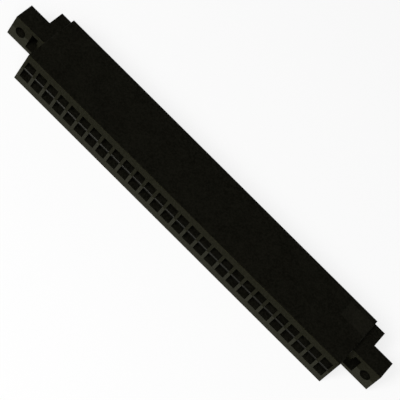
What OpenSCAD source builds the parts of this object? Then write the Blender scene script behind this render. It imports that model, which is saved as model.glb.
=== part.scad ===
// Card edge connector housing: a moulded body with two rows of wire cells that open into one
// card slot, and a mounting ear with a bolt hole at each end.
// X runs along the rows, Y from the wire-entry face to the card face, Z through the thickness.
// Millimetres. The origin is the middle of the side that the housing lies on.

/* [Contact grid] */
// Contact positions in each of the two rows
positions = 28; // [4:1:50]
// Distance from one position to the next
pitch = 3.96; // [3.2:0.01:5.2]
// Wall between neighbouring wire cells
cell_wall = 0.9; // [0.6:0.05:1.4]
// Height of a wire cell, through the thickness
cell_h = 3; // [2:0.05:4]
// Web between the two rows of cells
centre_web = 0.6; // [0.4:0.05:1.2]
// How far that web stands back from the wire-entry face
web_setback = 0.15; // [0.05:0.05:1]

/* [Body] */
// Depth from the wire-entry face to the card face
body_d = 19; // [18:0.1:26]
// Wall outside each row of cells
side_wall = 2.2; // [1:0.05:4]
// Wall beyond the first and the last cell
end_wall = 0.9; // [0.8:0.1:3]
// Radius of the outer edges
edge_r = 0.05; // [0.05:0.05:0.5]

/* [Card slot] */
// Thickness of the board that plugs in
board_t = 1.57; // [1:0.01:2.4]
// Play between the board and the slot
slot_play = 0.28; // [0.1:0.02:0.5]
// Depth of the slot, from the card face
slot_depth = 8.4; // [6:0.1:9.5]
// From the last position to the end of the slot
slot_over = 3.4; // [2.6:0.1:4.2]
// Bevel round the mouth of the slot
slot_bevel = 0.6; // [0.2:0.05:0.9]

/* [Contact chambers] */
// Ledge on each side that a contact stops against
ledge = 0.4; // [0.2:0.05:0.6]
// How far the ledge lies beyond the floor of the slot
ledge_over = 0.5; // [0.3:0.1:2]

/* [End blocks] */
// Wall beyond the end of the slot
block_wall = 2.74; // [1.5:0.02:5]
// How far the end block stands out past the card face
block_over = 0.3; // [0:0.05:1]

/* [Mounting ears] */
// From the wire-entry face to the ear's face
ear_setback = 7.7; // [4:0.1:8.8]
// Thickness of the ear, along the hole
ear_t = 6.2; // [4:0.1:9]
// Step from the body's side face down to the ear and the end block
ear_inset = 1.7; // [0.5:0.05:2.2]
// Diameter of the mounting hole
hole_d = 3.2; // [2.4:0.05:4]
// From the last position to the mounting hole
hole_over = 9.64; // [9:0.02:16]
// From the mounting hole to the tip of the ear
tip = 3.1; // [2.6:0.1:6]

/* [Ear pockets] */
// Wall between the pocket and the mounting hole
hole_wall = 1.5; // [0.8:0.1:2]
// Wall between the pocket and the end of the card slot
slot_wall = 1; // [0.6:0.1:2]
// Wall between the pocket and the ear's side faces
pocket_wall = 1.1; // [0.8:0.05:1.6]
// Skin under the floor of the pocket
pocket_skin = 1.2; // [0.8:0.1:2]
// Height of the filled corner between the pocket and the body
pocket_corner = 1.3; // [0.5:0.1:2]

/* [Hidden] */

$fn = 48;
cut = 1; // how far a cutter runs past the face that it opens

cell_w = pitch - cell_wall;
cell_z = centre_web / 2; // from the middle plane to a cell's near side
cell_top = cell_z + cell_h;
body_t = 2 * (cell_top + side_wall);

// Half lengths, from the middle of the row outwards
row_half = (positions - 1) * pitch / 2;
cells_half = row_half + cell_w / 2;
body_half = cells_half + end_wall;
slot_half = row_half + slot_over;
block_half = slot_half + block_wall;
hole_x = row_half + hole_over;
ear_half = hole_x + tip;

// Places along Y, with the wire-entry face in front and the origin half way through it all
block_face = (body_d + block_over) / 2;
card_face = block_face - block_over;
wire_face = -block_face;
ear_face = wire_face + ear_setback;
ear_back = ear_face + ear_t;
slot_floor = card_face - slot_depth;
ledge_y = slot_floor + ledge_over;

slot_w = board_t + slot_play;
chamber_w = cell_w - 2 * ledge;
chamber_top = cell_top - ledge;

ear_w = body_t - 2 * ear_inset;

// The pocket: a deep part beside the hole, and a shallow part over the end of the slot
pocket_x0 = slot_half + slot_wall;
pocket_x1 = hole_x - hole_d / 2 - hole_wall;
pocket_top = ear_w / 2 - pocket_wall;
pocket_floor = ear_back - pocket_skin;
shelf_floor = slot_floor - pocket_skin;

// A rectangle about the origin with true arcs at its corners
module rounded_rectangle(w, h) {
    square([w - 2 * edge_r, h], center = true);
    square([w, h - 2 * edge_r], center = true);
    for (x = [-1, 1], y = [-1, 1])
        translate([x * (w / 2 - edge_r), y * (h / 2 - edge_r)])
            circle(edge_r);
}

// A box with rounded edges, from one corner to the opposite one
module moulded_block(low, high) {
    size = high - low;
    translate((low + high) / 2)
        intersection() {
            linear_extrude(size.z, center = true)
                rounded_rectangle(size.x, size.y);
            rotate([90, 0, 0])
                linear_extrude(size.y, center = true)
                    rounded_rectangle(size.x, size.z);
            rotate([90, 0, 90])
                linear_extrude(size.x, center = true)
                    rounded_rectangle(size.y, size.z);
        }
}

// A plain cutter, from one corner to the opposite one
module cutter(low, high) {
    translate(low)
        cube(high - low);
}

// Places its children at every contact of both rows
module at_contacts() {
    for (i = [0:positions - 1], row = [0, 1])
        translate([i * pitch - row_half, 0, 0])
            mirror([0, 0, row])
                children();
}

// The body that holds the two rows
module body_block() {
    moulded_block(
        [-body_half, wire_face, -body_t / 2],
        [body_half, card_face, body_t / 2]
    );
}

// The block that closes the card slot at the +X end
module end_block() {
    moulded_block(
        [cells_half, ear_face, -ear_w / 2],
        [block_half, block_face, ear_w / 2]
    );
}

// The ear on the end block, flush with it on both sides and in front
module ear_block() {
    moulded_block(
        [cells_half, ear_face, -ear_w / 2],
        [ear_half, ear_back, ear_w / 2]
    );
}

// The bolt hole and the pocket of the ear at the +X end
module ear_cuts() {
    translate([hole_x, ear_face - cut, 0])
        rotate([-90, 0, 0])
            cylinder(d = hole_d, h = ear_t + 2 * cut);
    cutter(
        [pocket_x0, ear_face - cut, -pocket_top],
        [pocket_x1, pocket_floor, pocket_top]
    );
    cutter(
        [body_half, ear_face - cut, -pocket_top],
        [pocket_x0 + cut, shelf_floor, pocket_top - pocket_corner]
    );
}

// One wire cell, open at the wire-entry face and stopped by the ledge
module wire_cell() {
    cutter(
        [-cell_w / 2, wire_face - cut, cell_z],
        [cell_w / 2, ledge_y, cell_top]
    );
    cutter(
        [-cell_w / 2, wire_face - cut, -cell_z],
        [cell_w / 2, wire_face + web_setback, cell_top]
    );
}

// The narrower chamber in front of the ledge, open to the slot and the card face
module contact_chamber() {
    cutter(
        [-chamber_w / 2, slot_floor, 0],
        [chamber_w / 2, block_face + cut, chamber_top]
    );
}

// Section of the bevelled mouth for an opening of the given width
module mouth_section(w) {
    near = w / 2;
    rise = block_over + cut;
    far = near + slot_bevel + rise;
    polygon([
        [-near, -slot_bevel],
        [near, -slot_bevel],
        [far, rise],
        [-far, rise]
    ]);
}

// The slot for the board, with a bevel all round its mouth
module card_slot() {
    cutter(
        [-slot_half, slot_floor, -slot_w / 2],
        [slot_half, block_face + cut, slot_w / 2]
    );
    reach = 2 * (slot_half + body_t);
    translate([0, card_face, 0])
        intersection() {
            linear_extrude(reach, center = true)
                mouth_section(2 * slot_half);
            rotate([0, -90, 0])
                linear_extrude(reach, center = true)
                    mouth_section(slot_w);
        }
}

module housing() {
    color("#1c1c1a")
        translate([0, 0, body_t / 2])
            difference() {
                union() {
                    body_block();
                    for (end = [0, 1])
                        mirror([end, 0, 0]) {
                            end_block();
                            ear_block();
                        }
                }
                for (end = [0, 1])
                    mirror([end, 0, 0])
                        ear_cuts();
                at_contacts()
                    wire_cell();
                at_contacts()
                    contact_chamber();
                card_slot();
            }
}

housing();
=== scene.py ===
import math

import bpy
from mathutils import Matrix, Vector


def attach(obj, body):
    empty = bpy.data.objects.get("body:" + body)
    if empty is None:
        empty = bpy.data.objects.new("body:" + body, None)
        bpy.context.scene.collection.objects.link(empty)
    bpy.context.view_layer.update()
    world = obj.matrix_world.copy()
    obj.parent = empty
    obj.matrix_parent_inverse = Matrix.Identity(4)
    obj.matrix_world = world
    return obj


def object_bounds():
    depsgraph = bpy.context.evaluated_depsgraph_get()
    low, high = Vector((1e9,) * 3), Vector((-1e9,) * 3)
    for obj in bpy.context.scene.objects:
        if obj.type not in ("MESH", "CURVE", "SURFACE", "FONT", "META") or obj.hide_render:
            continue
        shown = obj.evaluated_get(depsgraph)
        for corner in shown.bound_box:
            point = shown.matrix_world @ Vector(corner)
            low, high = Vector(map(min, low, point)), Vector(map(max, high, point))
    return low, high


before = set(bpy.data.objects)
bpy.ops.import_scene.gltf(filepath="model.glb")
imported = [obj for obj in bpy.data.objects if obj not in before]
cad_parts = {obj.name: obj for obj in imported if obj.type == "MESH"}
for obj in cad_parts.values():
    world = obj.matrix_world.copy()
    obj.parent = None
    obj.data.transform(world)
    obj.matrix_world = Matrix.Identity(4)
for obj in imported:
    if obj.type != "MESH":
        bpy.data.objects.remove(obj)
cad_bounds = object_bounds()

# Looks of the card edge connector housing: black moulded plastic on a white table.
# Metres, in the frame of the CAD model: X along the rows, Y from the wire-entry face to the
# card face, Z up through the thickness.

MM = 0.001

# Camera: where it stands seen from AIM, and how far it is turned about its own axis, in degrees
AIM = Vector((0.92, 0.67, 5.56)) * MM
AZIMUTH = 3.57
ELEVATION = 50.62
ROLL = 42.06
DISTANCE = 460.3 * MM
LENS = 159.1
SENSOR_WIDTH = 36
CLIP_START = 0.01
CLIP_END = 20

# Table and studio
TABLE_RADIUS = 4.0
TABLE_SIDES = 96
TABLE_BOUNCE = 0.8  # what the table throws back at the object
TABLE_SHADE = 0.25  # white of the table as the camera sees it, where the lamps light it
TABLE_GLOW = 0.8  # what is added to that, in shadow too
HORIZON_LIGHT = 0.3
CEILING_LIGHT = 0.0
HORIZON_TOP = 12  # degrees above the horizon where the pale wall starts to fade
CEILING_START = 35  # degrees above the horizon where the dark ceiling starts

# Lamps: name, azimuth and elevation in degrees, width and level. Alone, a lamp of level 1 renders a
# white that faces it as white.
LAMP_DISTANCE = 0.9
LAMPS = [
    ("key", -20, 42, 0.25, 0.4),
    ("fill", 0, 48, 0.6, 0.58),
]

# Bevelled noses on the web between the two rows of cells, with the sizes of part.scad
POSITIONS = 28
PITCH = 3.96 * MM
CELL_WIDTH = 3.06 * MM
WEB_HEIGHT = 0.6 * MM
WEB_SETBACK = 0.15 * MM
NOSE_DEPTH = 0.14 * MM  # how far a nose stands out from the web, and the size of its bevels
NOSE_SINK = 0.03 * MM  # how far a nose reaches into the web behind it
NOSE_POLISH = 0.12  # what its smoother finish takes off the roughness
NOSE_SPECULAR = 0.083
NOSE_TINT = (1.0, 1.0, 0.9, 1)

# Plastic: near black with a warm cast
PLASTIC = (0.006, 0.0057, 0.0042)
ROUGHNESS = 0.42
SPECULAR = 0.17
SPECULAR_TINT = (1.0, 1.0, 0.4, 1)
MATT_EXTRA = 0.42  # what the matt finish adds to the roughness
SEAM_BLUR = 0.04 * MM  # half the width of the change between the two finishes

# A face starts to count as facing along an axis at the first share of its normal, and counts in full
# at the second
FACING = (0.7, 0.9)

# Unevenness: the size of each noise, the range of it that counts, and what that range is spread over
GRAIN = 0.2 * MM
GRAIN_DEPTH = 0.006 * MM
GRAIN_STRENGTH = 0.6
SPECKLE = 0.35 * MM
SPECKLE_RANGE = (0.35, 0.65)
SPECKLE_TONE = (-0.5, 0.5)  # added to the tone
CLOUD = 5 * MM
CLOUD_RANGE = (0.3, 0.7)
CLOUD_TONE = (0.9, 1.06)
CLOUD_ROUGHNESS = 0.02  # to both sides of the roughness

# The bare field on the upper side: its corners in X and Y, and what it adds to the tone
FIELD_LOW = (47.5 * MM, 2.25 * MM)
FIELD_HIGH = (55.7 * MM, 7.75 * MM)
FIELD_BLUR = 0.15 * MM  # half the width of its soft edges
FIELD_TONE = 0.6


def direction(azimuth, elevation):
    """Unit vector towards a place round the object; azimuth 0 is in front, at -Y."""
    turn = math.radians(azimuth)
    rise = math.radians(elevation)
    out = math.cos(rise)
    return Vector((math.sin(turn) * out, -math.cos(turn) * out, math.sin(rise)))


def facing_aim(towards, distance):
    """Place of a camera or lamp that stands that way and that far from AIM and looks at it."""
    turn = towards.to_track_quat("Z", "Y").to_matrix()
    return Matrix.Translation(AIM + towards * distance) @ turn.to_4x4()


def link_object(name, data):
    """Puts new data into the scene as an object."""
    obj = bpy.data.objects.new(name, data)
    bpy.context.scene.collection.objects.link(obj)
    return obj


def add_camera():
    """The camera, turned by ROLL about the line to AIM."""
    data = bpy.data.cameras.new("camera")
    data.lens = LENS
    data.sensor_width = SENSOR_WIDTH
    data.clip_start = CLIP_START
    data.clip_end = CLIP_END
    camera = link_object("camera", data)
    towards = direction(AZIMUTH, ELEVATION)
    roll = Matrix.Rotation(math.radians(ROLL), 4, "Z")
    camera.matrix_world = facing_aim(towards, DISTANCE) @ roll
    bpy.context.scene.camera = camera


class Nodes:
    """Short forms for building a node tree."""

    def __init__(self, tree):
        self.tree = tree
        tree.nodes.clear()

    def add(self, kind, inputs=None, **settings):
        """A node with its settings, and its inputs as values or as other nodes' outputs."""
        node = self.tree.nodes.new(kind)
        for name, value in settings.items():
            setattr(node, name, value)
        for name, value in (inputs or {}).items():
            if isinstance(value, bpy.types.NodeSocket):
                self.tree.links.new(value, node.inputs[name])
            else:
                node.inputs[name].default_value = value
        return node

    def math(self, operation, first, second):
        """The output of a Math node."""
        inputs = {0: first, 1: second}
        return self.add("ShaderNodeMath", inputs, operation=operation).outputs[0]

    def step(self, value, start, end, low=0.0, high=1.0):
        """Goes from low to high while value goes from start to end, smoothly."""
        ranges = {"From Min": start, "From Max": end, "To Min": low, "To Max": high}
        inputs = {"Value": value, **ranges}
        node = self.add("ShaderNodeMapRange", inputs, interpolation_type="SMOOTHSTEP")
        return node.outputs["Result"]

    def noise(self, coordinates, size, detail):
        """Noise between 0 and 1, with features of about the given size in metres."""
        inputs = {"Vector": coordinates, "Scale": 1 / size, "Detail": detail}
        return self.add("ShaderNodeTexNoise", inputs).outputs["Fac"]


def world_light():
    """A pale wall round the table that fades into a dark ceiling, the same for every ray."""
    world = bpy.data.worlds.new("studio")
    bpy.context.scene.world = world
    world.use_nodes = True
    nodes = Nodes(world.node_tree)
    position = nodes.add("ShaderNodeTexCoord").outputs["Generated"]
    height = nodes.add("ShaderNodeSeparateXYZ", {0: position}).outputs["Z"]
    low = math.sin(math.radians(HORIZON_TOP))
    high = math.sin(math.radians(CEILING_START))
    strength = nodes.step(height, low, high, HORIZON_LIGHT, CEILING_LIGHT)
    background = nodes.add("ShaderNodeBackground", {"Color": (1, 1, 1, 1), "Strength": strength})
    nodes.add("ShaderNodeOutputWorld", {"Surface": background.outputs[0]})


def table_material():
    """White with the object's shadow for the camera and in reflections, and a plain white for the
    light that it bounces."""
    material = bpy.data.materials.new("table_white")
    material.use_nodes = True
    nodes = Nodes(material.node_tree)
    bounce = nodes.add("ShaderNodeBsdfDiffuse", {"Color": (TABLE_BOUNCE,) * 3 + (1,)})
    shade = nodes.add("ShaderNodeBsdfDiffuse", {"Color": (TABLE_SHADE,) * 3 + (1,)})
    glow = nodes.add("ShaderNodeEmission", {"Color": (1, 1, 1, 1), "Strength": TABLE_GLOW})
    shown = nodes.add("ShaderNodeAddShader", {0: shade.outputs[0], 1: glow.outputs[0]})
    path = nodes.add("ShaderNodeLightPath")
    seen = nodes.math("MAXIMUM", path.outputs["Is Camera Ray"], path.outputs["Is Glossy Ray"])
    seen = nodes.math("MAXIMUM", seen, path.outputs["Is Transmission Ray"])
    mix = nodes.add("ShaderNodeMixShader", {0: seen, 1: bounce.outputs[0], 2: shown.outputs[0]})
    nodes.add("ShaderNodeOutputMaterial", {"Surface": mix.outputs[0]})
    return material


def add_table():
    """The round table top that the housing lies on."""
    ring = []
    for corner in range(TABLE_SIDES):
        angle = math.tau * corner / TABLE_SIDES
        ring.append((TABLE_RADIUS * math.cos(angle), TABLE_RADIUS * math.sin(angle), 0))
    mesh = bpy.data.meshes.new("table")
    mesh.from_pydata(ring, [], [range(TABLE_SIDES)])
    mesh.materials.append(table_material())
    link_object("table", mesh)


def add_lamps():
    """Square soft boxes that all face the housing."""
    for name, azimuth, elevation, width, level in LAMPS:
        data = bpy.data.lights.new(name, "AREA")
        data.shape = "SQUARE"
        data.size = width
        data.energy = level * (math.pi * LAMP_DISTANCE) ** 2
        lamp = link_object(name, data)
        lamp.matrix_world = facing_aim(direction(azimuth, elevation), LAMP_DISTANCE)


def rectangle(nodes, place, low, high, blur):
    """1 inside a rectangle of X and Y, 0 outside; its edges fade over blur to each side."""
    axes = nodes.add("ShaderNodeSeparateXYZ", {0: place}).outputs
    mask = 1.0
    for axis, start, end in zip(axes, low, high):
        mask = nodes.math("MULTIPLY", mask, nodes.step(axis, start - blur, start + blur))
        mask = nodes.math("MULTIPLY", mask, nodes.step(axis, end + blur, end - blur))
    return mask


def housing_material(name, base_roughness, specular, tint, seam):
    """Black moulded plastic: fine grain, a little unevenness, and the finishes of the mould's halves,
    which meet at the height of the seam."""
    material = bpy.data.materials.new(name)
    material.use_nodes = True
    nodes = Nodes(material.node_tree)
    place = nodes.add("ShaderNodeTexCoord").outputs["Object"]
    normal = nodes.add("ShaderNodeNewGeometry").outputs["True Normal"]
    facing = nodes.add("ShaderNodeSeparateXYZ", {0: normal}).outputs
    height = nodes.add("ShaderNodeSeparateXYZ", {0: place}).outputs["Z"]

    # The faces towards the wires are smooth below the mould's seam and matt above it
    front = nodes.step(facing["Y"], -FACING[0], -FACING[1])
    upper = nodes.step(height, seam - SEAM_BLUR, seam + SEAM_BLUR)
    matt = nodes.math("MULTIPLY", front, upper)

    # The bare field at the +X end of the upper side
    top = nodes.step(facing["Z"], *FACING)
    inside = rectangle(nodes, place, FIELD_LOW, FIELD_HIGH, FIELD_BLUR)
    field = nodes.math("MULTIPLY", top, inside)

    grain = nodes.noise(place, GRAIN, detail=3)
    speckle = nodes.noise(place, SPECKLE, detail=2)
    cloud = nodes.noise(place, CLOUD, detail=4)

    tone = nodes.step(cloud, *CLOUD_RANGE, *CLOUD_TONE)
    tone = nodes.math("ADD", tone, nodes.step(speckle, *SPECKLE_RANGE, *SPECKLE_TONE))
    tone = nodes.math("ADD", tone, nodes.math("MULTIPLY", field, FIELD_TONE))
    color = nodes.add("ShaderNodeVectorMath", {0: PLASTIC, 3: tone}, operation="SCALE").outputs[0]

    smoothest = base_roughness - CLOUD_ROUGHNESS
    roughest = base_roughness + CLOUD_ROUGHNESS
    roughness = nodes.step(cloud, *CLOUD_RANGE, smoothest, roughest)
    roughness = nodes.math("ADD", roughness, nodes.math("MULTIPLY", matt, MATT_EXTRA))

    relief = {"Strength": GRAIN_STRENGTH, "Distance": GRAIN_DEPTH, "Height": grain}
    bump = nodes.add("ShaderNodeBump", relief)
    shader = nodes.add(
        "ShaderNodeBsdfPrincipled",
        {
            "Base Color": color,
            "Roughness": roughness,
            "Specular IOR Level": specular,
            "Specular Tint": tint,
            "Normal": bump.outputs[0],
        },
    )
    nodes.add("ShaderNodeOutputMaterial", {"Surface": shader.outputs[0]})
    return material


def nose_section():
    """Y and Z of a nose's outline: bevelled in front of the web's face, and inside the web behind it.
    Z is counted from the middle of the web."""
    web_face = cad_bounds[0].y + WEB_SETBACK
    back = web_face + NOSE_SINK
    front = web_face - NOSE_DEPTH
    side = WEB_HEIGHT / 2
    flat = side - NOSE_DEPTH
    lower = [(back, -flat), (web_face, -side), (front, -flat)]
    upper = [(front, flat), (web_face, side), (back, flat)]
    return lower + upper


def add_web_noses(material, web_height):
    """One closed bar with bevelled front edges on the web at each position."""
    section = nose_section()
    count = len(section)
    points = []
    faces = []
    for position in range(POSITIONS):
        centre = (position - (POSITIONS - 1) / 2) * PITCH
        first = len(points)
        for x in (centre - CELL_WIDTH / 2, centre + CELL_WIDTH / 2):
            points += [(x, y, web_height + z) for y, z in section]
        faces.append(range(first, first + count))
        faces.append(range(first + 2 * count - 1, first + count - 1, -1))
        for corner in range(count):
            here = first + corner
            after = first + (corner + 1) % count
            faces.append((here, here + count, after + count, after))
    mesh = bpy.data.meshes.new("web_noses")
    mesh.from_pydata(points, [], [tuple(face) for face in faces])
    mesh.materials.append(material)
    noses = link_object("web_noses", mesh)
    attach(noses, "root")


def dress_housing(material):
    """Gives the CAD body its finished material."""
    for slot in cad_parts["housing"].material_slots:
        slot.material = material


add_camera()
world_light()
add_table()
add_lamps()

# The seam of the mould runs at half the height. The noses lie across it, and their front faces are all
# matt, so for them it runs below the web.
middle = (cad_bounds[0].z + cad_bounds[1].z) / 2
under_web = middle - WEB_HEIGHT
plastic = housing_material("housing_plastic", ROUGHNESS, SPECULAR, SPECULAR_TINT, middle)
polished = ROUGHNESS - NOSE_POLISH
nose_plastic = housing_material("nose_plastic", polished, NOSE_SPECULAR, NOSE_TINT, under_web)
dress_housing(plastic)
add_web_noses(nose_plastic, middle)

bpy.context.scene.view_settings.view_transform = "Standard"
